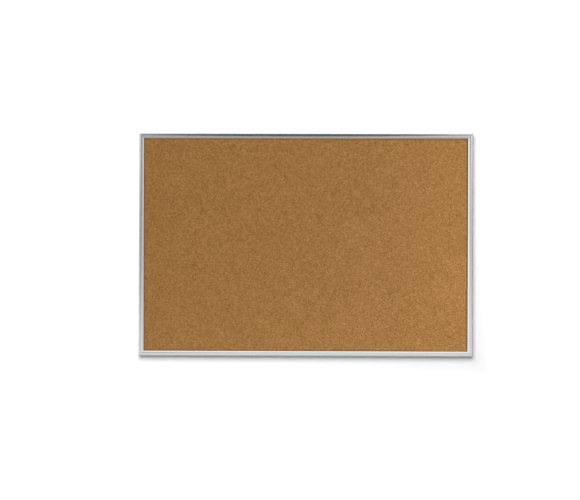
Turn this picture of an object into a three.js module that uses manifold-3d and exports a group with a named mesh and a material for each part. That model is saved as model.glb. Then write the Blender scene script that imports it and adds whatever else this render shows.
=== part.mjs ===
// Wall-hung cork bulletin board, 36 x 24 inches, in a sectional aluminium frame.
//
// Millimetres, +Z up. X runs along the board's long side and the cork faces -Y.
// The origin is the centre of the wall plane: the rear faces of the rubber wall pads lie on Y = 0.
//
// The frame is described by two distances: "across", inwards from a rail's outer face, and "deep",
// backwards from the front of the rail's crowned face.

import * as THREE from 'three';
import { mergeVertices } from 'three/addons/utils/BufferGeometryUtils.js';
import Module from 'manifold-3d';

const wasm = await Module();
wasm.setup();

// ---------------------------------------------------------------- driving dimensions

const INCH = 25.4;
const BOARD_WIDTH = 36 * INCH;
const BOARD_HEIGHT = 24 * INCH;
const GAP = 0.3; // clearance, or glue line, between pieces that touch

const RAIL_WIDTH = 14; // the visible face of the frame
const RAIL_WALL = 1.2;
const CROWN_ACROSS = 5; // where the face stands furthest forward
const CROWN_ROUND = 40;
const OUTER_FALL = 0.45; // how far the face falls from its crown to its outer edge
const OUTER_ROUND = 2.2;
const RIDGE_ACROSS = 10.2; // where the nearly flat face turns into the slope down to the cork
const RIDGE_FALL = 0.15;
const RIDGE_ROUND = 1.2;
const INNER_FALL = 1.7;
const INNER_ROUND = 0.45;
const LIP_DEPTH = 2.8; // from the crown to the lip's foot, which rests on the cork
const LIP_FOOT = 2; // width of that foot
const FACE_THICKNESS = 1.5; // from the crown to the hollow behind the face
const SEPTUM = 1; // wall between the panel groove and the rear channel
const CHANNEL_CLEAR = 3;
const REAR_LIP = 1;
const SLOT_WIDTH = 6;
const MITRE_GAP = 0.1; // on each side of the mitre line
const CHORD_ANGLE = Math.PI / 14; // longest chord of any arc
const TURNED_SIDES = 24;

const PANEL_CLEARANCE = 1.3; // between the panel's edge and the rail's outer wall
const CORK_EDGE = 3; // cork thickness where the lip pinches it
const CORK_SWELL = 0.5; // how far the free cork stands forward of its pinched edge
const CORK_SWELL_SLOPE = 0.6;
const CORE_THICKNESS = 0.25 * INCH;
const BACKING_THICKNESS = 0.6;

const CORNER_LEG = 40;
const CORNER_LEG_WIDTH = 10.6;
const CORNER_OUTER_ROUND = 1.5;
const CORNER_PLATE_THICKNESS = 1.6;
const SHIM_THICKNESS = 0.5;
const SET_SCREW_ALONG = 29; // from the board's corner to a set screw
const SET_SCREW_RADIUS = 2;
const SET_SCREW_CHAMFER = 0.3;
const SCREW_CLEARANCE = 0.2;
const DRIVE_SLOT_WIDTH = 0.8;
const DRIVE_SLOT_DEPTH = 0.7;

const HANGER_SPACING = 24 * INCH;
const HANGER_WIDTH = 32;
const HANGER_HEIGHT = 32;
const HANGER_THICKNESS = 1.5;
const HANGER_TOP = 0.8; // from the board's top edge to the plate's top edge
const HANGER_TOP_ROUND = 1;
const HANGER_BOTTOM_ROUND = 4;
const KEYHOLE_HEAD_RADIUS = 4.9; // lets a wall screw's head through
const KEYHOLE_SLOT_WIDTH = 5;
const KEYHOLE_HEAD_ACROSS = 26.2;
const KEYHOLE_SLOT_END_ACROSS = 16.8;
const NUT_LENGTH = 14;
const NUT_FLANGE_THICKNESS = 2.4;
const NUT_COLLAR_WIDTH = 5.4;
const HANGER_SCREW_RADIUS = 1.5;
const HANGER_SCREW_HEAD_RADIUS = 3;
const HANGER_SCREW_SUNK = 0.1; // head below the plate's rear face
const RECESS_WIDTH = 0.8;
const RECESS_SPAN = 3.4;
const RECESS_DEPTH = 1.1;

const PAD_THICKNESS = 2.5; // the clearance that the pads keep between the rails and the wall
const PAD_RADIUS = 6;
const PAD_CHAMFER = 0.8;

// ---------------------------------------------------------------- depths, from front to wall

const CORK_EDGE_FRONT = LIP_DEPTH + GAP;
const CORK_FACE = CORK_EDGE_FRONT - CORK_SWELL;
const CORK_BACK = CORK_EDGE_FRONT + CORK_EDGE;
const CORE_FRONT = CORK_BACK + GAP;
const CORE_BACK = CORE_FRONT + CORE_THICKNESS;
const BACKING_FRONT = CORE_BACK + GAP;
const BACKING_BACK = BACKING_FRONT + BACKING_THICKNESS;
const SEPTUM_FRONT = BACKING_BACK + GAP;
const CHANNEL_FLOOR = SEPTUM_FRONT + SEPTUM;
const CHANNEL_ROOF = CHANNEL_FLOOR + CHANNEL_CLEAR;
const RAIL_DEPTH = CHANNEL_ROOF + REAR_LIP;
const WALL_DEPTH = RAIL_DEPTH + PAD_THICKNESS;

const CHANNEL_MIDDLE = RAIL_WIDTH / 2;
const HALF_WIDTH = BOARD_WIDTH / 2;
const HALF_HEIGHT = BOARD_HEIGHT / 2;

// Each side and corner is built in one local frame, with +Z inwards from the bottom side, and +X and
// +Z inwards from the bottom left corner. "turn" counts the quarter turns about Y that carry it there.
const SIDES = [
  { name: 'bottom', x: 0, z: -1, turn: 0, length: BOARD_WIDTH },
  { name: 'left', x: -1, z: 0, turn: 1, length: BOARD_HEIGHT },
  { name: 'top', x: 0, z: 1, turn: 2, length: BOARD_WIDTH },
  { name: 'right', x: 1, z: 0, turn: 3, length: BOARD_HEIGHT },
];
const CORNERS = [
  { name: 'bottom_left', x: -1, z: -1, turn: 0 },
  { name: 'top_left', x: -1, z: 1, turn: 1 },
  { name: 'top_right', x: 1, z: 1, turn: 2 },
  { name: 'bottom_right', x: 1, z: -1, turn: 3 },
];
const HANGERS = [
  { name: 'left', x: -HANGER_SPACING / 2 },
  { name: 'right', x: HANGER_SPACING / 2 },
];

// ---------------------------------------------------------------- materials

function finish(color, roughness, metalness) {
  return new THREE.MeshStandardMaterial({ color, roughness, metalness });
}

const satinAluminium = () => finish(0xc6cac8, 0.35, 1);
const cork = () => finish(0x9f7140, 0.95, 0);
const fibreboard = () => finish(0x8d7a61, 1, 0);
const backingPaper = () => finish(0xa58a66, 0.9, 0);
const zincSteel = () => finish(0xb9bcc0, 0.4, 1);
const rubber = () => finish(0x1d1d1e, 0.8, 0);

// ---------------------------------------------------------------- helpers

/** World Y of a depth behind the front of the frame. */
const atDepth = (deep) => deep - WALL_DEPTH;

/** Turns a closed geometry into a manifold solid. */
function toSolid(geometry) {
  const bare = geometry.index ? geometry.toNonIndexed() : geometry.clone();
  bare.deleteAttribute('normal');
  bare.deleteAttribute('uv');
  const merged = mergeVertices(bare, 1e-4);
  const mesh = new wasm.Mesh({
    numProp: 3,
    vertProperties: merged.attributes.position.array,
    triVerts: new Uint32Array(merged.index.array),
  });
  return new wasm.Manifold(mesh);
}

/** Turns a manifold solid back into a geometry. */
function toGeometry(solid) {
  const mesh = solid.getMesh();
  const geometry = new THREE.BufferGeometry();
  geometry.setAttribute('position', new THREE.BufferAttribute(mesh.vertProperties, 3));
  geometry.setIndex(new THREE.BufferAttribute(mesh.triVerts, 1));
  geometry.computeVertexNormals();
  return geometry;
}

/** The points of an arc between two directions from its centre, turning counter-clockwise. */
function arcPoints(centre, radius, from, to) {
  const chords = Math.max(1, Math.ceil((to - from) / CHORD_ANGLE));
  return Array.from({ length: chords + 1 }, (_, i) => {
    const angle = from + ((to - from) * i) / chords;
    return new THREE.Vector2(Math.cos(angle), Math.sin(angle)).multiplyScalar(radius).add(centre);
  });
}

/** One counter-clockwise corner of an outline, as a point or as the arc that rounds it. */
function cornerPoints(before, corner, after, radius) {
  if (!radius) return [corner];
  const back = before.clone().sub(corner).normalize();
  const ahead = after.clone().sub(corner).normalize();
  const halfAngle = Math.acos(back.dot(ahead)) / 2;
  const middle = back.clone().add(ahead).normalize();
  const centre = corner.clone().addScaledVector(middle, radius / Math.sin(halfAngle));
  const facing = middle.negate().angle();
  const sweep = Math.PI / 2 - halfAngle;
  return arcPoints(centre, radius, facing - sweep, facing + sweep);
}

/** A closed counter-clockwise outline through corners, each [x, y] or [x, y, rounding radius]. */
function roundedOutline(corners) {
  const points = corners.map(([x, y]) => new THREE.Vector2(x, y));
  const count = points.length;
  return new THREE.Shape(
    points.flatMap((point, i) =>
      cornerPoints(points[(i + count - 1) % count], point, points[(i + 1) % count], corners[i][2]),
    ),
  );
}

/** Cuts each of the tools out of a geometry. */
function cut(geometry, tools) {
  const solid = tools.reduce((rest, tool) => rest.subtract(toSolid(tool)), toSolid(geometry));
  return toGeometry(solid);
}

/** A flat plate between two depths, from an outline drawn in X and Z. */
function plate(outline, frontDepth, backDepth) {
  const geometry = new THREE.ExtrudeGeometry(outline, {
    depth: backDepth - frontDepth,
    bevelEnabled: false,
  });
  return geometry.rotateX(Math.PI / 2).translate(0, atDepth(backDepth), 0);
}

/** A turned piece with its axis along Y, from [radius, depth] points that start and end on the axis. */
function turned(points) {
  const profile = points.map(([radius, deep]) => new THREE.Vector2(radius, atDepth(deep)));
  return new THREE.LatheGeometry(profile, TURNED_SIDES);
}

/** A box between two depths, centred on X = 0 and Z = 0. */
function block(width, height, frontDepth, backDepth) {
  const geometry = new THREE.BoxGeometry(width, backDepth - frontDepth, height);
  return geometry.translate(0, atDepth((frontDepth + backDepth) / 2), 0);
}

/** A round hole in a plate's outline. */
function roundHole(x, z, radius) {
  return new THREE.Path(arcPoints(new THREE.Vector2(x, z), radius, 0, 2 * Math.PI).slice(1));
}

function named(name, geometry, material) {
  const mesh = new THREE.Mesh(geometry, material);
  mesh.name = name;
  return mesh;
}

/** A group that carries its children from the local side or corner frame to their place. */
function placed({ x, z, turn }, ...meshes) {
  const group = new THREE.Group();
  group.position.set(x * HALF_WIDTH, 0, z * HALF_HEIGHT);
  group.rotation.y = (turn * Math.PI) / 2;
  group.add(...meshes);
  return group;
}

// ---------------------------------------------------------------- frame rails

/** The rail's section: sloped front lip, panel groove, septum and slotted rear channel. */
function railSection() {
  const slotNear = CHANNEL_MIDDLE - SLOT_WIDTH / 2;
  const slotFar = CHANNEL_MIDDLE + SLOT_WIDTH / 2;
  return roundedOutline([
    [0, RAIL_DEPTH],
    [0, OUTER_FALL, OUTER_ROUND],
    [CROWN_ACROSS, 0, CROWN_ROUND],
    [RIDGE_ACROSS, RIDGE_FALL, RIDGE_ROUND],
    [RAIL_WIDTH, INNER_FALL, INNER_ROUND],
    [RAIL_WIDTH, LIP_DEPTH],
    [RAIL_WIDTH - LIP_FOOT, LIP_DEPTH],
    [RIDGE_ACROSS, FACE_THICKNESS],
    [RAIL_WALL, FACE_THICKNESS],
    [RAIL_WALL, SEPTUM_FRONT],
    [RAIL_WIDTH, SEPTUM_FRONT],
    [RAIL_WIDTH, RAIL_DEPTH],
    [slotFar, RAIL_DEPTH],
    [slotFar, CHANNEL_ROOF],
    [RAIL_WIDTH - RAIL_WALL, CHANNEL_ROOF],
    [RAIL_WIDTH - RAIL_WALL, CHANNEL_FLOOR],
    [RAIL_WALL, CHANNEL_FLOOR],
    [RAIL_WALL, CHANNEL_ROOF],
    [slotNear, CHANNEL_ROOF],
    [slotNear, RAIL_DEPTH],
  ]);
}

/** Slides an extrusion's two end faces inwards by the distance across, which mitres them. */
function mitreEnds(geometry, length) {
  const position = geometry.attributes.position;
  for (let i = 0; i < position.count; i += 1) {
    const reach = length / 2 - position.getX(i) - MITRE_GAP;
    position.setZ(i, Math.sign(position.getZ(i)) * reach);
  }
  return geometry;
}

function rail(side) {
  const geometry = new THREE.ExtrudeGeometry(railSection(), {
    depth: side.length,
    bevelEnabled: false,
  });
  mitreEnds(geometry.translate(0, 0, -side.length / 2), side.length);
  // Section across becomes +Z, section depth +Y, and the length runs along -X.
  const upright = new THREE.Matrix4().makeBasis(
    new THREE.Vector3(0, 0, 1),
    new THREE.Vector3(0, 1, 0),
    new THREE.Vector3(-1, 0, 0),
  );
  geometry.applyMatrix4(upright).translate(0, -WALL_DEPTH, 0);
  return placed(side, named(`${side.name}_rail`, geometry, satinAluminium()));
}

// ---------------------------------------------------------------- panel

/** A closed slab built up from rectangular outlines, front to back, each {across, deep}. */
function steppedSlab(outlines) {
  const positions = [];
  const indices = [];
  for (const { across, deep } of outlines) {
    const x = HALF_WIDTH - across;
    const z = HALF_HEIGHT - across;
    const y = atDepth(deep);
    positions.push(-x, y, -z, x, y, -z, x, y, z, -x, y, z);
  }
  indices.push(0, 1, 2, 0, 2, 3);
  for (let ring = 0; ring < outlines.length - 1; ring += 1) {
    for (let side = 0; side < 4; side += 1) {
      const near = ring * 4 + side;
      const next = ring * 4 + ((side + 1) % 4);
      indices.push(near, near + 4, next + 4, near, next + 4, next);
    }
  }
  const last = (outlines.length - 1) * 4;
  indices.push(last, last + 2, last + 1, last, last + 3, last + 2);
  const geometry = new THREE.BufferGeometry();
  geometry.setAttribute('position', new THREE.Float32BufferAttribute(positions, 3));
  geometry.setIndex(indices);
  geometry.computeVertexNormals();
  return geometry;
}

/** The cork: pinched flat under the frame's lip, and slightly swollen inside it. */
function corkSheet() {
  const edge = RAIL_WALL + PANEL_CLEARANCE;
  const swellFoot = RAIL_WIDTH + GAP;
  return steppedSlab([
    { across: swellFoot + CORK_SWELL_SLOPE, deep: CORK_FACE },
    { across: swellFoot, deep: CORK_EDGE_FRONT },
    { across: edge, deep: CORK_EDGE_FRONT },
    { across: edge, deep: CORK_BACK },
  ]);
}

function panelLayer(frontDepth, backDepth) {
  const edge = RAIL_WALL + PANEL_CLEARANCE;
  return block(BOARD_WIDTH - 2 * edge, BOARD_HEIGHT - 2 * edge, frontDepth, backDepth);
}

// ---------------------------------------------------------------- corner joints

/** L outline whose two legs lie in the rear channels of the rails that meet at the corner. */
function cornerOutline() {
  const near = CHANNEL_MIDDLE - CORNER_LEG_WIDTH / 2;
  const far = CHANNEL_MIDDLE + CORNER_LEG_WIDTH / 2;
  const end = near + CORNER_LEG;
  return roundedOutline([
    [near, near, CORNER_OUTER_ROUND],
    [end, near],
    [end, far],
    [far, far],
    [far, end],
    [near, end],
  ]);
}

function cornerShim() {
  const front = CHANNEL_FLOOR + GAP;
  return plate(cornerOutline(), front, front + SHIM_THICKNESS);
}

function cornerPlate() {
  const back = CHANNEL_ROOF - GAP;
  const holeRadius = SET_SCREW_RADIUS + SCREW_CLEARANCE;
  const outline = cornerOutline();
  outline.holes.push(roundHole(SET_SCREW_ALONG, CHANNEL_MIDDLE, holeRadius));
  outline.holes.push(roundHole(CHANNEL_MIDDLE, SET_SCREW_ALONG, holeRadius));
  return plate(outline, back - CORNER_PLATE_THICKNESS, back);
}

/** Headless screw that pushes the shim and the corner plate apart, with its drive slot at the rear. */
function setScrew() {
  const front = CHANNEL_FLOOR + GAP + SHIM_THICKNESS + SCREW_CLEARANCE;
  const back = CHANNEL_ROOF - GAP;
  const narrow = SET_SCREW_RADIUS - SET_SCREW_CHAMFER;
  const body = turned([
    [0, front],
    [narrow, front],
    [SET_SCREW_RADIUS, front + SET_SCREW_CHAMFER],
    [SET_SCREW_RADIUS, back - SET_SCREW_CHAMFER],
    [narrow, back],
    [0, back],
  ]);
  const slot = block(3 * SET_SCREW_RADIUS, DRIVE_SLOT_WIDTH, back - DRIVE_SLOT_DEPTH, back + GAP);
  return cut(body, [slot]);
}

function cornerJoint(corner) {
  const screws = ['a', 'b'].map((leg) => named(`set_screw_${corner.name}_${leg}`, setScrew(), zincSteel()));
  screws[0].position.set(SET_SCREW_ALONG, 0, CHANNEL_MIDDLE);
  screws[1].position.set(CHANNEL_MIDDLE, 0, SET_SCREW_ALONG);
  return placed(
    corner,
    named(`corner_shim_${corner.name}`, cornerShim(), zincSteel()),
    named(`corner_plate_${corner.name}`, cornerPlate(), zincSteel()),
    ...screws,
  );
}

// ---------------------------------------------------------------- sliding hangers

/** Upright keyhole: a round entry below, and a slot with a round end above it. */
function keyhole() {
  const half = KEYHOLE_SLOT_WIDTH / 2;
  const headZ = -KEYHOLE_HEAD_ACROSS;
  const slotEndZ = -(KEYHOLE_SLOT_END_ACROSS + half);
  const meet = Math.asin(half / KEYHOLE_HEAD_RADIUS);
  const upright = Math.PI / 2;
  return new THREE.Path([
    ...arcPoints(new THREE.Vector2(0, headZ), KEYHOLE_HEAD_RADIUS, upright + meet, 5 * upright - meet),
    ...arcPoints(new THREE.Vector2(0, slotEndZ), half, 0, 2 * upright),
  ]);
}

/** Hanger plate outline, with X centred on the hanger and Z measured from the board's top edge. */
function hangerOutline() {
  const half = HANGER_WIDTH / 2;
  const top = -HANGER_TOP;
  const bottom = top - HANGER_HEIGHT;
  const outline = roundedOutline([
    [half, top, HANGER_TOP_ROUND],
    [-half, top, HANGER_TOP_ROUND],
    [-half, bottom, HANGER_BOTTOM_ROUND],
    [half, bottom, HANGER_BOTTOM_ROUND],
  ]);
  outline.holes.push(keyhole());
  return outline;
}

const HANGER_FRONT = RAIL_DEPTH + GAP;
const HANGER_BACK = HANGER_FRONT + HANGER_THICKNESS;

/** Screw head and hole share one 90 degree cone; "spread" widens it for the hole. */
function countersink(spread, back) {
  const head = HANGER_SCREW_HEAD_RADIUS + spread;
  const shank = HANGER_SCREW_RADIUS + spread;
  return { head, shank, foot: back - (head - shank) };
}

function hangerPlate() {
  const hole = countersink(SCREW_CLEARANCE, HANGER_BACK);
  const overrun = 1;
  const sink = turned([
    [0, HANGER_FRONT - overrun],
    [hole.shank, HANGER_FRONT - overrun],
    [hole.shank, hole.foot],
    [hole.head, HANGER_BACK],
    [hole.head, HANGER_BACK + overrun],
    [0, HANGER_BACK + overrun],
  ]);
  sink.translate(0, 0, -CHANNEL_MIDDLE);
  return cut(plate(hangerOutline(), HANGER_FRONT, HANGER_BACK), [sink]);
}

/** T-shaped nut: its flange stays behind the rear lips and its collar stands in the slot. */
function hangerNut() {
  const flangeBack = CHANNEL_ROOF - GAP;
  const flange = block(NUT_LENGTH, CORNER_LEG_WIDTH, flangeBack - NUT_FLANGE_THICKNESS, flangeBack);
  const collar = block(NUT_LENGTH, NUT_COLLAR_WIDTH, flangeBack - NUT_FLANGE_THICKNESS / 2, RAIL_DEPTH);
  const body = toGeometry(toSolid(flange).add(toSolid(collar)));
  const holeRadius = HANGER_SCREW_RADIUS + SCREW_CLEARANCE;
  const hole = turned([
    [0, CHANNEL_FLOOR],
    [holeRadius, CHANNEL_FLOOR],
    [holeRadius, HANGER_FRONT],
    [0, HANGER_FRONT],
  ]);
  return cut(body, [hole]);
}

/** Countersunk screw from the plate's rear face into the nut, with a cross recess. */
function hangerScrew() {
  const back = HANGER_BACK - HANGER_SCREW_SUNK;
  const cone = countersink(0, back);
  const body = turned([
    [0, CHANNEL_FLOOR + 2 * GAP],
    [cone.shank, CHANNEL_FLOOR + 2 * GAP],
    [cone.shank, cone.foot],
    [cone.head, back],
    [0, back],
  ]);
  const recesses = [
    block(RECESS_SPAN, RECESS_WIDTH, back - RECESS_DEPTH, back + GAP),
    block(RECESS_WIDTH, RECESS_SPAN, back - RECESS_DEPTH, back + GAP),
  ];
  return cut(body, recesses);
}

function hanger({ name, x }) {
  const nut = named(`hanger_nut_${name}`, hangerNut(), zincSteel());
  const screw = named(`hanger_screw_${name}`, hangerScrew(), zincSteel());
  nut.position.z = -CHANNEL_MIDDLE;
  screw.position.z = -CHANNEL_MIDDLE;
  const group = new THREE.Group();
  group.position.set(x, 0, HALF_HEIGHT);
  group.add(named(`hanger_plate_${name}`, hangerPlate(), zincSteel()), nut, screw);
  return group;
}

// ---------------------------------------------------------------- wall pads

/** Round rubber pad on the rear lips over the mitre, with a chamfered flat face to the wall. */
function wallPad(corner) {
  const front = RAIL_DEPTH + GAP;
  const pad = turned([
    [0, front],
    [PAD_RADIUS, front],
    [PAD_RADIUS, WALL_DEPTH - PAD_CHAMFER],
    [PAD_RADIUS - PAD_CHAMFER, WALL_DEPTH],
    [0, WALL_DEPTH],
  ]);
  const mesh = named(`wall_pad_${corner.name}`, pad, rubber());
  mesh.position.set(CHANNEL_MIDDLE, 0, CHANNEL_MIDDLE);
  return placed(corner, mesh);
}

// ---------------------------------------------------------------- assembly

const board = new THREE.Group();
board.add(
  named('cork_sheet', corkSheet(), cork()),
  named('fiberboard_core', panelLayer(CORE_FRONT, CORE_BACK), fibreboard()),
  named('backing_sheet', panelLayer(BACKING_FRONT, BACKING_BACK), backingPaper()),
  ...SIDES.map(rail),
  ...CORNERS.map(cornerJoint),
  ...HANGERS.map(hanger),
  ...CORNERS.map(wallPad),
);

export default board;
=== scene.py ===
"""The looks of a cork bulletin board: granulated cork in a satin aluminium frame, and its rear hardware.

Metres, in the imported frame: X along the board, Z up, the cork facing -Y and the wall at Y = 0.
"""

import math
from collections import namedtuple

import bpy
import numpy as np
from mathutils import Matrix, Vector


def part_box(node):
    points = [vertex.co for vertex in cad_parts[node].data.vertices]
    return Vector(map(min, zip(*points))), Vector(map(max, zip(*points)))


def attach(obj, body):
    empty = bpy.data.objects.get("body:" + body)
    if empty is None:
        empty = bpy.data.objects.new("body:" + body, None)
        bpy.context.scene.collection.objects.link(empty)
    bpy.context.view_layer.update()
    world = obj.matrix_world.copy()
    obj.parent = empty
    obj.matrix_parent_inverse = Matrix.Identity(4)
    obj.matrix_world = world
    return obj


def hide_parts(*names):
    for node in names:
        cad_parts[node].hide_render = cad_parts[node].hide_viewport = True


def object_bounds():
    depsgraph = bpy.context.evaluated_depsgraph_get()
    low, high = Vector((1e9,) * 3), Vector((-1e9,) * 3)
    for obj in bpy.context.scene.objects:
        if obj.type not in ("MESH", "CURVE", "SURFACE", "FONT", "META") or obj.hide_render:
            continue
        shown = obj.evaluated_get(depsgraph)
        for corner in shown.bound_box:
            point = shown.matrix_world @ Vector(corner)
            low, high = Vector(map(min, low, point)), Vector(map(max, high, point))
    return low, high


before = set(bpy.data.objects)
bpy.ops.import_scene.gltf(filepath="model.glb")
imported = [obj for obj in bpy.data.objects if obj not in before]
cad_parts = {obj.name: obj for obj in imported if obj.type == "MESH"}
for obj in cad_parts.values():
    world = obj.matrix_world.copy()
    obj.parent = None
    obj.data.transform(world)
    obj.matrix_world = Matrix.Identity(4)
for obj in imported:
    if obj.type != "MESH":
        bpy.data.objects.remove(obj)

CAD_LOW, CAD_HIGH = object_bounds()
MM = 0.001
SEED = 7

# ---------------------------------------------------------------- sizes read from the frame

HALF_WIDTH = CAD_HIGH.x
HALF_HEIGHT = CAD_HIGH.z
FRONT = CAD_LOW.y
RAIL_LOW, RAIL_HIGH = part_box("top_rail")
RAIL_WIDTH = RAIL_HIGH.z - RAIL_LOW.z
RAIL_DEPTH = RAIL_HIGH.y - RAIL_LOW.y
CORK_LOW, CORK_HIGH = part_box("cork_sheet")
BACKING_LOW, BACKING_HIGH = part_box("backing_sheet")

# ---------------------------------------------------------------- the rail's section
# "Across" is inwards from the rail's outer face, and "fall" and "depth" are backwards from its crown.

RAIL_WALL = 1.2 * MM
CROWN_ACROSS = 5 * MM
CROWN_ROUND = 40 * MM
OUTER_FALL = 0.45 * MM
OUTER_ROUND = 2.2 * MM
RIDGE_ACROSS = 10.2 * MM
RIDGE_FALL = 0.15 * MM
RIDGE_ROUND = 1.2 * MM
INNER_FALL = 1.7 * MM
INNER_ROUND = 0.45 * MM
LIP_DEPTH = 2.8 * MM
LIP_FOOT = 2 * MM  # width of the lip's foot, which rests on the cork
FACE_THICKNESS = 1.5 * MM
GAP = 0.3 * MM  # clearance between pieces
SEPTUM = 1 * MM
REAR_LIP = 1 * MM
SLOT_WIDTH = 6 * MM
EDGE_BREAK = 0.15 * MM  # rounding of the section's sharp corners
MITRE_GAP = 0.1 * MM
CHORD_ANGLE = math.radians(3)  # longest chord of any arc

# ---------------------------------------------------------------- cork and backing

CORK_SWELL = 0.5 * MM  # how far the free cork stands forward of its pinched edge
CORK_SWELL_SLOPE = 0.6 * MM
CORK_GRID = 2.42 * MM  # spacing of the cork's surface points
CORK_GRAIN = 0.11 * MM  # height of the relief between granules
CORK_GRAIN_SPREAD = 0.45  # how much of that height most points use
CORK_WAVE = 0.16 * MM  # height of the sheet's slow undulation
CORK_WAVE_LENGTHS = (0.07, 0.3)
CORK_RIM = 4.5 * MM  # how far the painted shade along the cork's edge reaches in
CORK_RIGHT_RIM = 5.5 * MM  # the same beside the right rail, where the painted shade is darkest
# Colours of the painted shade beside the frame, for the lip's shadow and the gap under it, darkest by the
# right rail
CORK_RIM_PAINTED_SHADE = (0.62, 0.57, 0.48)
CORK_RIGHT_PAINTED_SHADE = (0.42, 0.38, 0.32)
CORK_GRANULE = 2.9 * MM
CORK_CRUMB = 1.45 * MM
CORK_BARK = 8.5 * MM  # spacing of the flecks of bark
CORK_GRANULE_TONE = 0.68
CORK_GRIT_TONE = 0.66
CORK_SLOW_TONE = 0.08
BACKING_WAVE = 0.12 * MM
BACKING_WAVE_LENGTHS = (0.12, 0.5)
BACKING_GRID = 9 * MM
WAVE_COUNT = 14  # random waves summed into a sheet's undulation

# ---------------------------------------------------------------- hardware

WELD_DISTANCE = 0.001 * MM
PLATE_EDGE_BREAK = 0.18 * MM
SCREW_EDGE_BREAK = 0.06 * MM
CORE_EDGE_BREAK = 0.5 * MM
BEVEL_FROM = math.radians(40)  # edges sharper than this are broken
PAD_SIDES = 64
PAD_ROUND = 0.7 * MM
PAD_ROUND_CHORDS = 6
PAD_DISH = 0.35 * MM
PAD_DISH_RIM = 0.55  # the dish's sloping edge, as shares of the pad's radius
PAD_DISH_FLOOR = 0.45

# ---------------------------------------------------------------- shading
# Edges flatter than these angles are shaded smooth.

SMOOTH_RAIL = math.radians(25)
SMOOTH_TURNED = math.radians(30)
SMOOTH_SLAB = math.radians(40)

# ---------------------------------------------------------------- the camera and the set

CAMERA_DISTANCE = 3.2
CAMERA_X = -0.0178
CAMERA_Z = 0.0055
CAMERA_YAW = math.radians(0.449)
CAMERA_PITCH = math.radians(-0.353)
CAMERA_ROLL = math.radians(0.155)
CAMERA_LENS = 72.16

WALL_REACH = 6
WALL_BACK = 0.2 * MM  # keeps the wall just clear of the pads
WALL_OVERLAP = 3 * MM  # how far the wall reaches in behind the board
WALL_WHITE = 0.97
WALL_MIRRORED = 0.78  # metal sees the wall a little darker, so that the frame's sides stand out from it
WALL_GLOW_START = 12 * MM  # outside the board's shadow the wall glows, so that it stays white
WALL_GLOW_RISE = 3  # growth of that glow for each metre
FLOOR_REACH = 60
FLOOR_DROP = 1.5
FLOOR_GREY = 0.2
FLOOR_GLOW = 0.66
FLOOR_FADE_START = 2  # from here to the end of the fade the floor turns white
FLOOR_FADE_END = 8

# A lamp's place, the point it faces, its size and its power in watts.
Lamp = namedtuple("Lamp", "place_at aim across up watts")
KEY = Lamp((-0.68, -3.56, 1.92), (-0.68, 0, 1.92), 2.9, 3.3, 211)
SIDE_STRIP = Lamp((0.95, -0.5, -0.1), (0.4, 0, -0.1), 0.15, 1.1, 7.4)
LOW_STRIP = Lamp((-0.1, -0.5, -0.75), (-0.1, 0, -0.25), 1.2, 0.15, 4.1)
REAR_SOFT = Lamp((-1.6, 4.3, 2.1), (0, 0, 0), 3.4, 3.4, 150)

FILL_LEVEL = 0.18  # the world's even light on matt surfaces

# Tones of the studio that metal mirrors, from the floor (0) to overhead (1).
STUDIO_TONES = [
    (0.0, (0.35, 0.35, 0.34)),
    (0.2, (0.46, 0.46, 0.45)),
    (0.4, (0.86, 0.86, 0.85)),
    (0.5, (0.93, 0.93, 0.92)),
    (0.8, (1.08, 1.09, 1.10)),
    (1.0, (1.0, 1.01, 1.03)),
]

# Soft ellipses of another tone laid over them. Centre and half size are (across, up), in the X and Z of
# a unit direction, and softness is the share of the ellipse over which its edge fades.
Patch = namedtuple("Patch", "centre half tone softness")
STUDIO_PATCHES = [
    Patch((-0.2, 0.0), (0.15, 0.085), (0.26, 0.27, 0.27), 0.4),  # dark, left of the middle
    Patch((0.36, 0.0), (0.36, 0.085), (0.62, 0.63, 0.63), 0.4),  # a grey band, right of the middle
    Patch((-0.6, 0.25), (0.32, 0.5), (1.16, 1.17, 1.19), 0.4),  # bright, upper left
    Patch((1.0, 0.0), (0.42, 0.8), (0.05, 0.05, 0.05), 0.4),  # nearly black, far right
    Patch((-0.005, 0.245), (0.18, 0.275), (0.055, 0.08, 0.09), 0.28),  # dark blue, above the middle
]


# ---------------------------------------------------------------- node helpers


def add(tree, kind, inputs=None, **settings):
    """Adds a node, sets its properties, and sets or links its inputs by name or number."""
    made = tree.nodes.new(kind)
    for name, value in settings.items():
        setattr(made, name, value)
    for key, value in (inputs or {}).items():
        if isinstance(value, bpy.types.NodeSocket):
            tree.links.new(value, made.inputs[key])
        else:
            made.inputs[key].default_value = value
    return made


def maths(tree, operation, *values, clamp=False):
    """A Math node's output, from numbers or sockets."""
    made = add(tree, "ShaderNodeMath", dict(enumerate(values)), operation=operation)
    made.use_clamp = clamp
    return made.outputs[0]


def ramp(tree, factor, stops, interpolation="LINEAR"):
    """A colour ramp's output; each stop is (position, (r, g, b))."""
    made = add(tree, "ShaderNodeValToRGB", {0: factor})
    made.color_ramp.interpolation = interpolation
    elements = made.color_ramp.elements
    while len(elements) < len(stops):
        elements.new(1.0)
    for element, (position, colour) in zip(elements, stops):
        element.position = position
        element.color = (*colour, 1.0)
    return made.outputs[0]


def blend_colour(tree, mode, factor, first, second):
    """A colour Mix node's output."""
    made = tree.nodes.new("ShaderNodeMix")
    made.data_type = "RGBA"
    made.blend_type = mode
    for socket, value in ((made.inputs[0], factor), (made.inputs[6], first), (made.inputs[7], second)):
        if isinstance(value, bpy.types.NodeSocket):
            tree.links.new(value, socket)
        elif isinstance(value, tuple):
            socket.default_value = (*value, 1.0)
        else:
            socket.default_value = value
    return made.outputs[2]


def place(tree, scale=(1, 1, 1)):
    """Object coordinates, in metres, stretched by a scale for each axis."""
    coordinates = add(tree, "ShaderNodeTexCoord").outputs["Object"]
    return add(tree, "ShaderNodeMapping", {"Vector": coordinates, "Scale": scale}).outputs[0]


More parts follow.
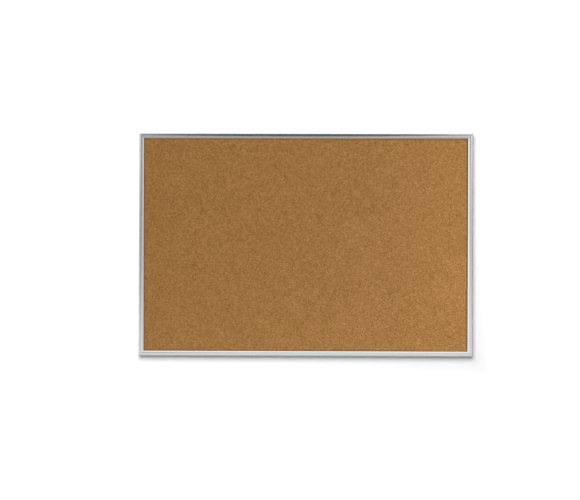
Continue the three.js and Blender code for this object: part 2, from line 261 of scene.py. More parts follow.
def turned(tree, where, angle):
    """Coordinates turned about the Y axis."""
    inputs = {"Vector": where, "Angle": angle}
    return add(tree, "ShaderNodeVectorRotate", inputs, rotation_type="Y_AXIS").outputs[0]


def speckle(tree, where, size, detail=2.0, roughness=0.5, distortion=0.0):
    """Noise from 0 to 1 whose blobs are about "size" metres across."""
    inputs = {
        "Vector": where,
        "Scale": 1 / size,
        "Detail": detail,
        "Roughness": roughness,
        "Distortion": distortion,
    }
    return add(tree, "ShaderNodeTexNoise", inputs).outputs[0]


def cells(tree, where, size, feature="F1"):
    """A Voronoi node whose cells are about "size" metres across."""
    return add(tree, "ShaderNodeTexVoronoi", {"Vector": where, "Scale": 1 / size}, feature=feature)


def warp(tree, where, size, reach):
    """Coordinates pushed about by noise with blobs of about "size", by up to about half of "reach"."""
    noise = add(tree, "ShaderNodeTexNoise", {"Vector": where, "Scale": 1 / size, "Detail": 2.0})
    centred = add(
        tree,
        "ShaderNodeVectorMath",
        {0: noise.outputs["Color"], 1: (0.5, 0.5, 0.5)},
        operation="SUBTRACT",
    )
    push = add(
        tree,
        "ShaderNodeVectorMath",
        {0: centred.outputs[0], 1: (reach, reach, reach)},
        operation="MULTIPLY",
    )
    moved = add(tree, "ShaderNodeVectorMath", {0: where, 1: push.outputs[0]}, operation="ADD")
    return moved.outputs[0]


def draw_of(tree, cell_node, channel):
    """A random number from 0 to 1 for each Voronoi cell: one channel of its colour."""
    return add(tree, "ShaderNodeSeparateColor", {0: cell_node.outputs["Color"]}).outputs[channel]


def smooth_step(tree, value, low, high):
    """0 below "low" and 1 above "high", with a smooth rise between."""
    inputs = {"Value": value, "From Min": low, "From Max": high}
    return add(tree, "ShaderNodeMapRange", inputs, interpolation_type="SMOOTHSTEP").outputs[0]


def mixed(tree, factor, first, second):
    """A number between two others."""
    gap = maths(tree, "SUBTRACT", second, first)
    return maths(tree, "MULTIPLY_ADD", gap, factor, first)


def new_material(name, **uniform):
    """A node material, with the shader's uniform values set on its own sockets."""
    material = bpy.data.materials.new(name)
    material.use_nodes = True
    tree = material.node_tree
    shader = tree.nodes["Principled BSDF"]
    for socket, value in uniform.items():
        shader.inputs[socket.replace("_", " ")].default_value = value
    return material, tree, shader


def bump(tree, shader, height, strength, distance):
    """Lets a height from 0 to 1, worth "distance" metres, shade a surface."""
    made = add(tree, "ShaderNodeBump", {"Height": height, "Strength": strength, "Distance": distance})
    tree.links.new(made.outputs[0], shader.inputs["Normal"])


# ---------------------------------------------------------------- materials


def painted_rim_shade(tree):
    """Painted shade: darkens the cork beside the frame's lip, and most beside the right rail."""
    parts = add(tree, "ShaderNodeSeparateXYZ", {0: place(tree)})
    across = maths(tree, "ABSOLUTE", parts.outputs[0])
    upward = maths(tree, "ABSOLUTE", parts.outputs[2])
    from_sides = maths(tree, "SUBTRACT", HALF_WIDTH - RAIL_WIDTH, across)
    from_ends = maths(tree, "SUBTRACT", HALF_HEIGHT - RAIL_WIDTH, upward)
    inset = maths(tree, "MINIMUM", from_sides, from_ends)
    from_right = maths(tree, "SUBTRACT", HALF_WIDTH - RAIL_WIDTH, parts.outputs[0])
    inset = maths(tree, "DIVIDE", inset, CORK_RIM)
    from_right = maths(tree, "DIVIDE", from_right, CORK_RIGHT_RIM)
    # Painted shade along all four edges, and a darker one beside the right rail
    rim = ramp(tree, inset, [(0.0, CORK_RIM_PAINTED_SHADE), (1.0, (1, 1, 1))])
    right_painted_shade = ramp(tree, from_right, [(0.0, CORK_RIGHT_PAINTED_SHADE), (1.0, (1, 1, 1))])
    return blend_colour(tree, "MULTIPLY", 1.0, rim, right_painted_shade)


def cork_material():
    """Pressed cork: coarse granules with finer crumbs between them, ragged edges and flecks of bark."""
    material, tree, shader = new_material("cork", Metallic=0.0)
    shader.inputs["Specular IOR Level"].default_value = 0.25
    straight = place(tree)
    bent = warp(tree, straight, 2.5 * MM, 1.6 * MM)
    ragged = warp(tree, bent, 0.8 * MM, 0.55 * MM)
    grit = speckle(tree, straight, 0.9 * MM, 4.0, 0.65)
    slow = speckle(tree, straight, 90 * MM, 2.0)
    crumbs = smooth_step(tree, speckle(tree, straight, 3.4 * MM, 2.0), 0.46, 0.56)

    coarse_tone = draw_of(tree, cells(tree, ragged, CORK_GRANULE), 0)
    fine_tone = draw_of(tree, cells(tree, ragged, CORK_CRUMB), 1)
    coarse_seam = cells(tree, ragged, CORK_GRANULE, "DISTANCE_TO_EDGE").outputs["Distance"]
    fine_seam = cells(tree, ragged, CORK_CRUMB, "DISTANCE_TO_EDGE").outputs["Distance"]
    granule = mixed(tree, crumbs, coarse_tone, fine_tone)
    seam = mixed(tree, crumbs, coarse_seam, fine_seam)

    tone = maths(tree, "MULTIPLY", granule, CORK_GRANULE_TONE)
    tone = maths(tree, "MULTIPLY_ADD", grit, CORK_GRIT_TONE, tone)
    tone = maths(tree, "MULTIPLY_ADD", slow, CORK_SLOW_TONE, tone)
    tone = maths(tree, "SUBTRACT", tone, (CORK_GRANULE_TONE + CORK_GRIT_TONE + CORK_SLOW_TONE - 1) / 2)
    body = ramp(
        tree,
        tone,
        [
            (0.0, (0.072, 0.033, 0.010)),
            (0.2, (0.160, 0.075, 0.021)),
            (0.5, (0.238, 0.115, 0.034)),
            (0.8, (0.310, 0.160, 0.052)),
            (1.0, (0.400, 0.236, 0.094)),
        ],
    )
    # Painted shade in the recessed seams between granules, stronger in some patches than in others
    gap = ramp(tree, seam, [(0.0, (0.56, 0.50, 0.42)), (0.13, (1, 1, 1))], "EASE")
    seam_shade_strength = smooth_step(tree, speckle(tree, straight, 4.2 * MM, 3.0), 0.35, 0.65)
    body = blend_colour(tree, "MULTIPLY", maths(tree, "MULTIPLY_ADD", seam_shade_strength, 0.75, 0.15), body, gap)

    bark = cells(tree, ragged, CORK_BARK)
    bark_size = maths(tree, "MULTIPLY_ADD", draw_of(tree, bark, 0), 0.19, -0.03)
    is_bark = maths(tree, "LESS_THAN", bark.outputs["Distance"], bark_size)
    bark_colour = ramp(tree, grit, [(0.3, (0.055, 0.023, 0.009)), (0.7, (0.15, 0.066, 0.022))])
    body = blend_colour(tree, "MIX", is_bark, body, bark_colour)
    # Multiplies in the painted shade beside the frame's lip
    body = blend_colour(tree, "MULTIPLY", 1.0, body, painted_rim_shade(tree))
    tree.links.new(body, shader.inputs["Base Color"])

    tree.links.new(maths(tree, "MULTIPLY_ADD", grit, 0.16, 0.8), shader.inputs["Roughness"])
    dome = maths(tree, "MINIMUM", maths(tree, "MULTIPLY", seam, 4.0), 1.0)
    bump(tree, shader, maths(tree, "MULTIPLY_ADD", grit, 0.8, dome), 0.6, 0.35 * MM)
    return material


def aluminium_material(name, along):
    """Satin anodised extrusion: fine die lines run along the given axis."""
    material, tree, shader = new_material(name, Metallic=1.0)
    stretch = tuple(0.006 if axis == along else 1.0 for axis in "XYZ")
    lines = speckle(tree, place(tree, stretch), 0.35 * MM, 4.0, 0.65)
    bands = speckle(tree, place(tree, stretch), 2.4 * MM, 2.0)
    cloud = speckle(tree, place(tree), 60 * MM, 3.0)
    colour = ramp(tree, bands, [(0.25, (0.735, 0.745, 0.74)), (0.75, (0.80, 0.808, 0.803))])
    tree.links.new(colour, shader.inputs["Base Color"])
    rough = maths(tree, "MULTIPLY_ADD", lines, 0.08, 0.09)
    rough = maths(tree, "MULTIPLY_ADD", cloud, 0.04, rough)
    tree.links.new(rough, shader.inputs["Roughness"])
    bump(tree, shader, lines, 0.12, 0.03 * MM)
    return material


def zinc_material():
    """Zinc plated pressed steel: a faint spangle, dull blotches and hairline scuffs."""
    material, tree, shader = new_material("zinc_plate", Metallic=1.0)
    spangle = draw_of(tree, cells(tree, place(tree), 1.6 * MM), 0)
    blotch = speckle(tree, place(tree), 7 * MM, 4.0, 0.6)
    scuff = speckle(tree, place(tree, (0.08, 1, 1)), 0.3 * MM, 3.0, 0.7)
    tone = maths(tree, "MULTIPLY_ADD", spangle, 0.3, maths(tree, "MULTIPLY", blotch, 0.7))
    colour = ramp(
        tree,
        tone,
        [(0.2, (0.44, 0.46, 0.49)), (0.5, (0.56, 0.575, 0.59)), (0.8, (0.64, 0.63, 0.60))],
    )
    tree.links.new(colour, shader.inputs["Base Color"])
    rough = maths(tree, "MULTIPLY_ADD", blotch, 0.3, 0.2)
    rough = maths(tree, "MULTIPLY_ADD", scuff, 0.15, rough)
    tree.links.new(rough, shader.inputs["Roughness"])
    bump(tree, shader, maths(tree, "ADD", scuff, blotch), 0.15, 0.05 * MM)
    return material


def stray_fibres(tree, colour, angle, shade):
    """Lays short thin fibres of one shade over a colour; they lie roughly along one angle."""
    bent = warp(tree, place(tree), 9 * MM, 5 * MM)
    along = add(tree, "ShaderNodeMapping", {"Vector": turned(tree, bent, angle), "Scale": (0.16, 1, 1)})
    strand = cells(tree, along.outputs[0], 4.5 * MM)
    reach = maths(tree, "MULTIPLY_ADD", draw_of(tree, strand, 0), 0.07, -0.015)
    seen = maths(tree, "LESS_THAN", strand.outputs["Distance"], reach)
    return blend_colour(tree, "MIX", maths(tree, "MULTIPLY", seen, 0.7), colour, shade)


def paper_material():
    """Kraft paper on the rear: felted fibres, fine upright mill streaks and stray pale and dark fibres."""
    material, tree, shader = new_material("kraft_backing", Metallic=0.0)
    shader.inputs["Specular IOR Level"].default_value = 0.3
    flat = speckle(tree, place(tree, (0.4, 1, 1)), 0.8 * MM, 5.0, 0.7, 0.4)
    upright = speckle(tree, place(tree, (1, 1, 0.4)), 1.1 * MM, 5.0, 0.7, 0.4)
    fibres = maths(tree, "MULTIPLY", maths(tree, "ADD", flat, upright), 0.5)
    streaks = speckle(tree, place(tree, (1, 1, 0.012)), 5 * MM, 3.0, 0.6)
    mottle = speckle(tree, place(tree), 7 * MM, 5.0, 0.7)
    stain = speckle(tree, place(tree), 260 * MM, 2.0)
    tone = maths(tree, "MULTIPLY", fibres, 0.36)
    for layer, share in ((streaks, 0.2), (mottle, 0.26), (stain, 0.18)):
        tone = maths(tree, "MULTIPLY_ADD", layer, share, tone)
    colour = ramp(
        tree,
        tone,
        [(0.34, (0.235, 0.148, 0.078)), (0.5, (0.325, 0.218, 0.122)), (0.66, (0.425, 0.302, 0.182))],
    )
    colour = stray_fibres(tree, colour, 0.5, (0.13, 0.075, 0.04))
    colour = stray_fibres(tree, colour, 1.9, (0.56, 0.43, 0.29))
    colour = stray_fibres(tree, colour, -0.4, (0.5, 0.37, 0.24))
    tree.links.new(colour, shader.inputs["Base Color"])
    tree.links.new(maths(tree, "MULTIPLY_ADD", fibres, 0.2, 0.72), shader.inputs["Roughness"])
    bump(tree, shader, fibres, 0.35, 0.12 * MM)
    return material


def fibreboard_material():
    """Soft fibreboard core: felted brown wood fibre."""
    material, tree, shader = new_material("fibreboard", Metallic=0.0)
    shader.inputs["Specular IOR Level"].default_value = 0.2
    felt = speckle(tree, place(tree), 1.2 * MM, 6.0, 0.75, 0.6)
    clump = speckle(tree, place(tree), 8 * MM, 3.0)
    tone = maths(tree, "MULTIPLY_ADD", clump, 0.4, maths(tree, "MULTIPLY", felt, 0.6))
    colour = ramp(tree, tone, [(0.3, (0.17, 0.12, 0.07)), (0.7, (0.34, 0.26, 0.17))])
    tree.links.new(colour, shader.inputs["Base Color"])
    tree.links.new(maths(tree, "MULTIPLY_ADD", felt, 0.1, 0.88), shader.inputs["Roughness"])
    bump(tree, shader, felt, 0.7, 0.4 * MM)
    return material


def rubber_material():
    """Moulded black rubber with a fine matt skin and a trace of dust."""
    material, tree, shader = new_material("black_rubber", Metallic=0.0)
    skin = speckle(tree, place(tree), 0.25 * MM, 3.0, 0.7)
    dust = speckle(tree, place(tree), 3 * MM, 4.0, 0.6)
    colour = ramp(tree, dust, [(0.4, (0.012, 0.012, 0.013)), (0.75, (0.045, 0.043, 0.04))])
    tree.links.new(colour, shader.inputs["Base Color"])
    tree.links.new(maths(tree, "MULTIPLY_ADD", skin, 0.2, 0.6), shader.inputs["Roughness"])
    bump(tree, shader, skin, 0.4, 0.05 * MM)
    return material


# ---------------------------------------------------------------- mesh helpers


def new_piece(name, points, faces, material, smooth_angle=None):
    """A mesh object from points and faces; smooth_angle shades it smooth below that edge angle."""
    mesh = bpy.data.meshes.new(name)
    mesh.from_pydata([tuple(p) for p in points], [], faces)
    mesh.materials.append(material)
    piece = bpy.data.objects.new(name, mesh)
    bpy.context.scene.collection.objects.link(piece)
    if smooth_angle is not None:
        mesh.shade_smooth()
        mesh.set_sharp_from_angle(angle=smooth_angle)
    return piece


def rounded_corner(before, corner, after, radius):
    """The points of one counter-clockwise corner of an outline, rounded by an arc."""
    if not radius:
        return [corner]
    back = (before - corner).normalized()
    ahead = (after - corner).normalized()
    turn = back.x * ahead.y - back.y * ahead.x
    half = back.angle(ahead) / 2
    middle = (back + ahead).normalized()
    centre = corner + middle * (radius / math.sin(half))
    facing = math.atan2(-middle.y, -middle.x)
    sweep = math.pi / 2 - half
    if turn > 0:
        sweep = -sweep
    chords = max(2, math.ceil(abs(2 * sweep) / CHORD_ANGLE))
    angles = [facing - sweep + 2 * sweep * i / chords for i in range(chords + 1)]
    return [centre + Vector((math.cos(a), math.sin(a))) * radius for a in angles]


def rounded_outline(corners):
    """A closed outline through corners, each (x, y, rounding radius)."""
    points = [Vector((x, y)) for x, y, _ in corners]
    count = len(points)
    outline = []
    for i, (_, _, radius) in enumerate(corners):
        outline += rounded_corner(points[i - 1], points[i], points[(i + 1) % count], radius)
    return outline


# ---------------------------------------------------------------- the frame's rails


def rail_section():
    """The rail's outline as (across, deep): the same section as the CAD rail, with its edges broken."""
    septum_front = BACKING_HIGH.y + GAP - FRONT
    floor = septum_front + SEPTUM
    roof = RAIL_DEPTH - REAR_LIP
    near = (RAIL_WIDTH - SLOT_WIDTH) / 2
    far = (RAIL_WIDTH + SLOT_WIDTH) / 2
    inside = RAIL_WIDTH - RAIL_WALL
    return rounded_outline(
        [
            (0, RAIL_DEPTH, EDGE_BREAK),
            (0, OUTER_FALL, OUTER_ROUND),
            (CROWN_ACROSS, 0, CROWN_ROUND),
            (RIDGE_ACROSS, RIDGE_FALL, RIDGE_ROUND),
            (RAIL_WIDTH, INNER_FALL, INNER_ROUND),
            (RAIL_WIDTH, LIP_DEPTH, EDGE_BREAK),
            (RAIL_WIDTH - LIP_FOOT, LIP_DEPTH, 0),
            (RIDGE_ACROSS, FACE_THICKNESS, 0),
            (RAIL_WALL, FACE_THICKNESS, 0),
            (RAIL_WALL, septum_front, 0),
            (RAIL_WIDTH, septum_front, EDGE_BREAK),
            (RAIL_WIDTH, RAIL_DEPTH, EDGE_BREAK),
            (far, RAIL_DEPTH, EDGE_BREAK),
            (far, roof, EDGE_BREAK),
            (inside, roof, 0),
            (inside, floor, 0),
            (RAIL_WALL, floor, 0),
            (RAIL_WALL, roof, 0),
            (near, roof, EDGE_BREAK),
            (near, RAIL_DEPTH, EDGE_BREAK),
        ]
    )


def rail_points(section, side, reach):
    """The points of both mitred ends of a rail along one side."""
    ends = []
    for way in (-1, 1):
        for p in section:
            along = way * (reach - p.x - MITRE_GAP)
            if side[0]:
                ends.append((side[0] * (HALF_WIDTH - p.x), FRONT + p.y, along))
            else:
                ends.append((along, FRONT + p.y, side[1] * (HALF_HEIGHT - p.x)))
    return ends


def make_rail(name, side, reach, material):
    """One rail as a mitred extrusion, whose end faces are the section itself.

    side is the (x, z) direction outwards, and reach is half the rail's length.
    """
    section = rail_section()
    count = len(section)
    turned_inwards = side in ((0, 1), (-1, 0))
    faces = [tuple(range(count)), tuple(reversed(range(count, 2 * count)))]
    for i in range(count):
        j = (i + 1) % count
        faces.append((i, i + count, j + count, j))
    if turned_inwards:
        faces = [tuple(reversed(face)) for face in faces]
    points = rail_points(section, side, reach)
    piece = new_piece(name + "_extrusion", points, faces, material, SMOOTH_RAIL)
    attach(piece, "board")
    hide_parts(name)


def make_frame_rails():
    """The four rails, with die lines that run along each."""
    flat = aluminium_material("satin_aluminium_flat", "X")
    upright = aluminium_material("satin_aluminium_upright", "Z")
    make_rail("top_rail", (0, 1), HALF_WIDTH, flat)
    make_rail("bottom_rail", (0, -1), HALF_WIDTH, flat)
    make_rail("left_rail", (-1, 0), HALF_HEIGHT, upright)
    make_rail("right_rail", (1, 0), HALF_HEIGHT, upright)


# ---------------------------------------------------------------- cork and backing


def spaced(half, edge_steps, spacing):
    """Grid lines from -half to half: given steps near each edge, even ones between them."""
    inner = half - edge_steps[-1]
    count = max(2, round(2 * inner / spacing))
    middle = np.linspace(-inner, inner, count + 1)
    low = [-half + step for step in edge_steps[:-1]]
    return np.array(low + list(middle) + [-v for v in reversed(low)])


def slow_waves(x, z, height, draws, lengths):
    """A sum of long random waves, about "height" each way, with wavelengths between two lengths."""
    total = np.zeros_like(x)
    for _ in range(WAVE_COUNT):
        heading = draws.uniform(0, 2 * math.pi)
        pitch = draws.uniform(*lengths)
        phase = draws.uniform(0, 2 * math.pi)
        run = x * math.cos(heading) + z * math.sin(heading)
        total += np.sin(2 * math.pi * run / pitch + phase)
    return total * height / math.sqrt(WAVE_COUNT)


def slab(name, xs, zs, face_y, back_y, material, facing):
    """A closed slab whose face is a height field over the grid; facing is -1 for -Y and 1 for +Y."""
    nx, nz = len(xs), len(zs)
    grid_x, grid_z = np.meshgrid(xs, zs)
    front = np.stack([grid_x.ravel(), face_y.ravel(), grid_z.ravel()], 1)
    rim = list(range(nx))
    rim += [nx * j + nx - 1 for j in range(1, nz)]
    rim += [nx * (nz - 1) + i for i in range(nx - 2, -1, -1)]
    rim += [nx * j for j in range(nz - 2, 0, -1)]
    back = front[rim].copy()
    back[:, 1] = back_y
    points = np.vstack([front, back])
    faces = []
    for j in range(nz - 1):
        row = nx * j
        faces += [(row + i, row + i + 1, row + i + 1 + nx, row + i + nx) for i in range(nx - 1)]
    start = nx * nz
    count = len(rim)
    for k in range(count):
        m = (k + 1) % count
        faces.append((rim[m], rim[k], start + k, start + m))
    faces.append(tuple(start + k for k in reversed(range(count))))
    if facing > 0:
        faces = [tuple(reversed(face)) for face in faces]
    return new_piece(name, points, faces, material, SMOOTH_SLAB)


def make_cork():
    """The cork sheet: pinched flat under the lip, swollen inside it, with granular relief."""
    draws = np.random.default_rng(SEED)
    half_x, half_z = CORK_HIGH.x, CORK_HIGH.z
    foot = RAIL_WIDTH + GAP - (HALF_WIDTH - half_x)
    steps = [0, foot, foot + CORK_SWELL_SLOPE / 2, foot + CORK_SWELL_SLOPE, foot + 2 * CORK_SWELL_SLOPE]
    xs = spaced(half_x, steps, CORK_GRID)
    zs = spaced(half_z, steps, CORK_GRID)
    x, z = np.meshgrid(xs, zs)
    inside = np.minimum(half_x - abs(x), half_z - abs(z)) - foot
    rise = np.clip(inside / CORK_SWELL_SLOPE, 0, 1)
    rise = rise * rise * (3 - 2 * rise)
    free = np.clip(inside / (3 * CORK_SWELL_SLOPE), 0, 1)
    relief = draws.normal(0, CORK_GRAIN_SPREAD, x.shape)
    relief = np.clip(relief, -1, 1) * CORK_GRAIN
    relief += slow_waves(x, z, CORK_WAVE / 2, draws, CORK_WAVE_LENGTHS)
    y = CORK_LOW.y + CORK_SWELL * (1 - rise) + free * (relief + CORK_WAVE / 2)
    piece = slab("cork_face", xs, zs, y, CORK_HIGH.y, cork_material(), -1)
    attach(piece, "board")
    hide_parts("cork_sheet")


def make_backing():
    """The backing sheet: thin paper-faced board, held by the rails and very slightly wavy between."""
    draws = np.random.default_rng(SEED + 1)
    half_x, half_z = BACKING_HIGH.x, BACKING_HIGH.z
    held = RAIL_WIDTH - (HALF_WIDTH - half_x)
    steps = [0, held, held + BACKING_GRID / 2]
    xs = spaced(half_x, steps, BACKING_GRID)
    zs = spaced(half_z, steps, BACKING_GRID)
    x, z = np.meshgrid(xs, zs)
    inside = np.minimum(half_x - abs(x), half_z - abs(z)) - held
    free = np.clip(inside / (4 * BACKING_GRID), 0, 1)
    y = BACKING_HIGH.y + free * slow_waves(x, z, BACKING_WAVE, draws, BACKING_WAVE_LENGTHS)
    piece = slab("backing_face", xs, zs, y, BACKING_LOW.y, paper_material(), 1)
    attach(piece, "board")
    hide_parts("backing_sheet")


# ---------------------------------------------------------------- rear hardware


def turned_piece(name, centre, profile, material):
    """A piece turned about an axis along Y, from (radius, y) points that start and end on the axis."""
    points = []
    rings = []
    for radius, y in profile:
        if not radius:
            rings.append([len(points)])
            points.append((centre.x, y, centre.z))
            continue
        rings.append(list(range(len(points), len(points) + PAD_SIDES)))
        for k in range(PAD_SIDES):
            angle = 2 * math.pi * k / PAD_SIDES
            points.append((centre.x + radius * math.cos(angle), y, centre.z + radius * math.sin(angle)))
    faces = []
    for near, far in zip(rings, rings[1:]):
        for k in range(PAD_SIDES):
            m = (k + 1) % PAD_SIDES
            quad = [near[m % len(near)], near[k % len(near)], far[k % len(far)], far[m % len(far)]]
            faces.append(tuple(dict.fromkeys(quad)))
    return new_piece(name, points, faces, material, SMOOTH_TURNED)


def make_pad(corner, rubber):
    """A rubber wall pad with a rounded rim and a shallow moulded dish in its wall face."""
    low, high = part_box(f"wall_pad_{corner}")
    centre = (low + high) / 2
    radius = (high.x - low.x) / 2
    profile = [(0, low.y), (radius, low.y)]
    for step in range(PAD_ROUND_CHORDS + 1):
        angle = math.pi / 2 * step / PAD_ROUND_CHORDS
        across = radius - PAD_ROUND + PAD_ROUND * math.cos(angle)
        profile.append((across, high.y - PAD_ROUND + PAD_ROUND * math.sin(angle)))
    dish_floor = high.y - PAD_DISH
    profile += [(radius * PAD_DISH_RIM, high.y), (radius * PAD_DISH_FLOOR, dish_floor), (0, dish_floor)]
    piece = turned_piece(f"rubber_pad_{corner}", centre, profile, rubber)
    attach(piece, "board")
    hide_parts(f"wall_pad_{corner}")


def break_edges(node, width):
    """Rounds a CAD piece's sharp edges by modifiers, which leave its own mesh as it is."""
    weld = node.modifiers.new("joined_faces", "WELD")
    weld.merge_threshold = WELD_DISTANCE
    bevel = node.modifiers.new("broken_edges", "BEVEL")
    bevel.width = width
    bevel.segments = 2
    bevel.limit_method = "ANGLE"
    bevel.angle_limit = BEVEL_FROM


def wear(node, material):
    """Puts a material in every slot of a CAD piece."""
    node.data.materials.clear()
    node.data.materials.append(material)


def finish_hardware():
    """Gives the CAD pieces that stay their materials and broken edges."""
    zinc = zinc_material()
    for name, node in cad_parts.items():
        if name.startswith(("corner_plate", "hanger_plate", "hanger_nut")):
            wear(node, zinc)
            break_edges(node, PLATE_EDGE_BREAK)
        elif name.startswith(("corner_shim", "set_screw", "hanger_screw")):
            wear(node, zinc)
            break_edges(node, SCREW_EDGE_BREAK)
    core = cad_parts["fiberboard_core"]
    wear(core, fibreboard_material())
    break_edges(core, CORE_EDGE_BREAK)


# ---------------------------------------------------------------- the set


def backdrop(name, corners, material):
    """A flat four-cornered piece of the set, which isn't part of the board."""
    piece = new_piece(name, corners, [(0, 1, 2, 3)], material)
    return piece


def make_wall():
    """A white wall with the board's shadow on it.

    It is clear from behind. Behind the board it is clear to all but the camera, so that the board's rear
    is lit and mirrors the studio as it would off the wall.
    """
    material = bpy.data.materials.new("white_wall")
    material.use_nodes = True
    tree = material.node_tree
    tree.nodes.clear()
    parts = add(tree, "ShaderNodeSeparateXYZ", {0: place(tree)})
    beyond_sides = maths(tree, "SUBTRACT", maths(tree, "ABSOLUTE", parts.outputs[0]), HALF_WIDTH)
    beyond_ends = maths(tree, "SUBTRACT", maths(tree, "ABSOLUTE", parts.outputs[2]), HALF_HEIGHT)
    beyond = maths(tree, "MAXIMUM", beyond_sides, beyond_ends)
    rise = maths(tree, "SUBTRACT", beyond, WALL_GLOW_START)
    glow_level = maths(tree, "MULTIPLY", rise, WALL_GLOW_RISE, clamp=True)
    paths = add(tree, "ShaderNodeLightPath")
    from_camera = paths.outputs["Is Camera Ray"]
    white_level = mixed(tree, paths.outputs["Is Glossy Ray"], WALL_WHITE, WALL_MIRRORED)
    white = add(tree, "ShaderNodeBsdfDiffuse", {"Color": white_level})
    glow_level = maths(tree, "MULTIPLY", glow_level, from_camera)
    glow = add(tree, "ShaderNodeEmission", {"Color": (1, 1, 1, 1), "Strength": glow_level})
    lit = add(tree, "ShaderNodeAddShader", {0: white.outputs[0], 1: glow.outputs[0]})
    clear = add(tree, "ShaderNodeBsdfTransparent")
    covered = maths(tree, "LESS_THAN", beyond, -WALL_OVERLAP)
    covered = maths(tree, "MULTIPLY", covered, maths(tree, "SUBTRACT", 1.0, from_camera))
    behind = add(tree, "ShaderNodeNewGeometry").outputs["Backfacing"]
    gone = maths(tree, "MAXIMUM", behind, covered)
    whole = add(tree, "ShaderNodeMixShader", {0: gone, 1: lit.outputs[0], 2: clear.outputs[0]})
    output = add(tree, "ShaderNodeOutputMaterial")
    tree.links.new(whole.outputs[0], output.inputs[0])
    x, y, foot, top = WALL_REACH, WALL_BACK, -FLOOR_DROP, WALL_REACH
    corners = [(-x, y, foot), (x, y, foot), (x, y, top), (-x, y, top)]
    wall = backdrop("wall", corners, material)
    wall.visible_shadow = False
    return wall


def make_floor():
    """A plain pale floor, below the view. It melts into the white backdrop with distance."""
    material, tree, shader = new_material("pale_floor", Roughness=0.7)
    shader.inputs["Base Color"].default_value = (FLOOR_GREY, FLOOR_GREY, FLOOR_GREY, 1)
    shader.inputs["Emission Color"].default_value = (1.0, 1.0, 0.99, 1)
    away = add(tree, "ShaderNodeVectorMath", {0: place(tree, (1, 1, 0))}, operation="LENGTH")
    far = smooth_step(tree, away.outputs["Value"], FLOOR_FADE_START, FLOOR_FADE_END)
    tree.links.new(mixed(tree, far, FLOOR_GLOW, 1.0), shader.inputs["Emission Strength"])
    reach, z = FLOOR_REACH, -FLOOR_DROP
    corners = [(-reach, -reach, z), (reach, -reach, z), (reach, reach, z), (-reach, reach, z)]
    floor = backdrop("floor", corners, material)
    floor.visible_diffuse = False
    floor.visible_glossy = False


def area_light(name, lamp):
    """A rectangular light. Metal doesn't mirror it: the world has the tones that metal mirrors."""
    data = bpy.data.lights.new(name, "AREA")
    data.shape = "RECTANGLE"
    data.size = lamp.across
    data.size_y = lamp.up
    data.energy = lamp.watts
    light = bpy.data.objects.new(name, data)
    light.location = lamp.place_at
    facing = Vector(lamp.aim) - Vector(lamp.place_at)
    light.rotation_euler = facing.to_track_quat("-Z", "Y").to_euler()
    light.visible_glossy = False
    bpy.context.scene.collection.objects.link(light)
    return light


def lay_patch(tree, tones, direction, patch):
    """Lays a patch's tone over the tones for each direction, an (across, up) pair of sockets."""
    offsets = [maths(tree, "SUBTRACT", direction[i], patch.centre[i]) for i in range(2)]
    across, upward = [maths(tree, "DIVIDE", offsets[i], patch.half[i]) for i in range(2)]
    square = maths(tree, "MULTIPLY_ADD", across, across, maths(tree, "MULTIPLY", upward, upward))
    edge = maths(tree, "DIVIDE", maths(tree, "SQRT", square), 2.0)
    fade_start = (1 - patch.softness) / 2
    outside = ramp(tree, edge, [(fade_start, (0, 0, 0)), (0.5, (1, 1, 1))], "EASE")
    return blend_colour(tree, "MIX", outside, patch.tone, tones)


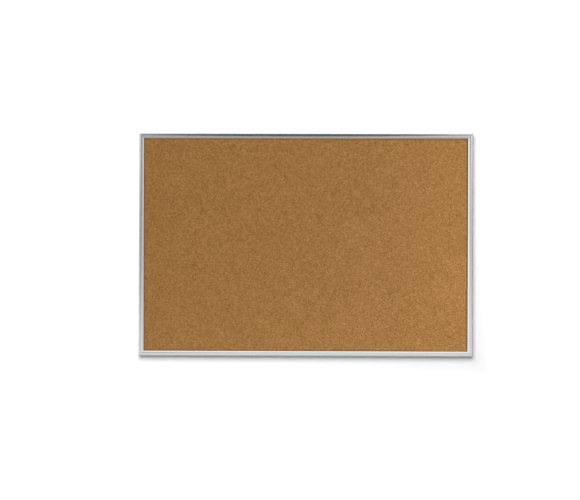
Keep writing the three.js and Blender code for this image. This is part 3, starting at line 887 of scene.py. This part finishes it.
def make_world():
    """White for the camera, an even fill for matt surfaces, and a studio's tones in reflections."""
    world = bpy.data.worlds.new("studio")
    bpy.context.scene.world = world
    world.use_nodes = True
    tree = world.node_tree
    tree.nodes.clear()
    way = add(tree, "ShaderNodeTexCoord").outputs["Generated"]
    parts = add(tree, "ShaderNodeSeparateXYZ", {0: way})
    direction = (parts.outputs[0], parts.outputs[2])
    height = maths(tree, "MULTIPLY_ADD", direction[1], 0.5, 0.5)
    tones = ramp(tree, height, STUDIO_TONES)
    for patch in STUDIO_PATCHES:
        tones = lay_patch(tree, tones, direction, patch)
    paths = add(tree, "ShaderNodeLightPath")
    matt = add(tree, "ShaderNodeBackground", {0: (1, 1, 1, 1), 1: FILL_LEVEL})
    gloss = add(tree, "ShaderNodeBackground", {0: tones, 1: 1.0})
    white = add(tree, "ShaderNodeBackground", {0: (1, 1, 1, 1), 1: 1.0})
    mirrored = paths.outputs["Is Glossy Ray"]
    lit = add(tree, "ShaderNodeMixShader", {0: mirrored, 1: matt.outputs[0], 2: gloss.outputs[0]})
    seen = paths.outputs["Is Camera Ray"]
    whole = add(tree, "ShaderNodeMixShader", {0: seen, 1: lit.outputs[0], 2: white.outputs[0]})
    output = add(tree, "ShaderNodeOutputWorld")
    tree.links.new(whole.outputs[0], output.inputs[0])


def strip_light(name, lamp, unlit):
    """A strip close to the board that lifts one side of the cork, with no shadow or light on the wall."""
    strip = area_light(name, lamp)
    strip.data.use_shadow = False
    strip.light_linking.receiver_collection = unlit


def make_lights(wall):
    """A broad key from the upper left, strips that lift the cork's right and foot, and one light behind."""
    unlit = bpy.data.collections.new("unlit_by_strips")
    unlit.objects.link(wall)
    unlit.collection_objects[0].light_linking.link_state = "EXCLUDE"
    area_light("key", KEY)
    strip_light("side_strip", SIDE_STRIP, unlit)
    strip_light("low_strip", LOW_STRIP, unlit)
    area_light("rear_soft", REAR_SOFT)


def make_camera():
    """Nearly square to the board, at the viewing angle the board is shown from."""
    data = bpy.data.cameras.new("camera")
    data.lens = CAMERA_LENS
    camera = bpy.data.objects.new("camera", data)
    camera.location = (CAMERA_X, -CAMERA_DISTANCE, CAMERA_Z)
    level = Matrix.Rotation(CAMERA_YAW, 4, "Z") @ Matrix.Rotation(math.pi / 2 + CAMERA_PITCH, 4, "X")
    camera.rotation_euler = (level @ Matrix.Rotation(CAMERA_ROLL, 4, "Z")).to_euler()
    bpy.context.scene.collection.objects.link(camera)
    bpy.context.scene.camera = camera


# ---------------------------------------------------------------- build it all

make_camera()
make_cork()
make_frame_rails()
make_backing()
finish_hardware()
pad_rubber = rubber_material()
for pad_corner in ("top_left", "top_right", "bottom_left", "bottom_right"):
    make_pad(pad_corner, pad_rubber)
make_lights(make_wall())
make_floor()
make_world()
bpy.context.scene.view_settings.view_transform = "Standard"
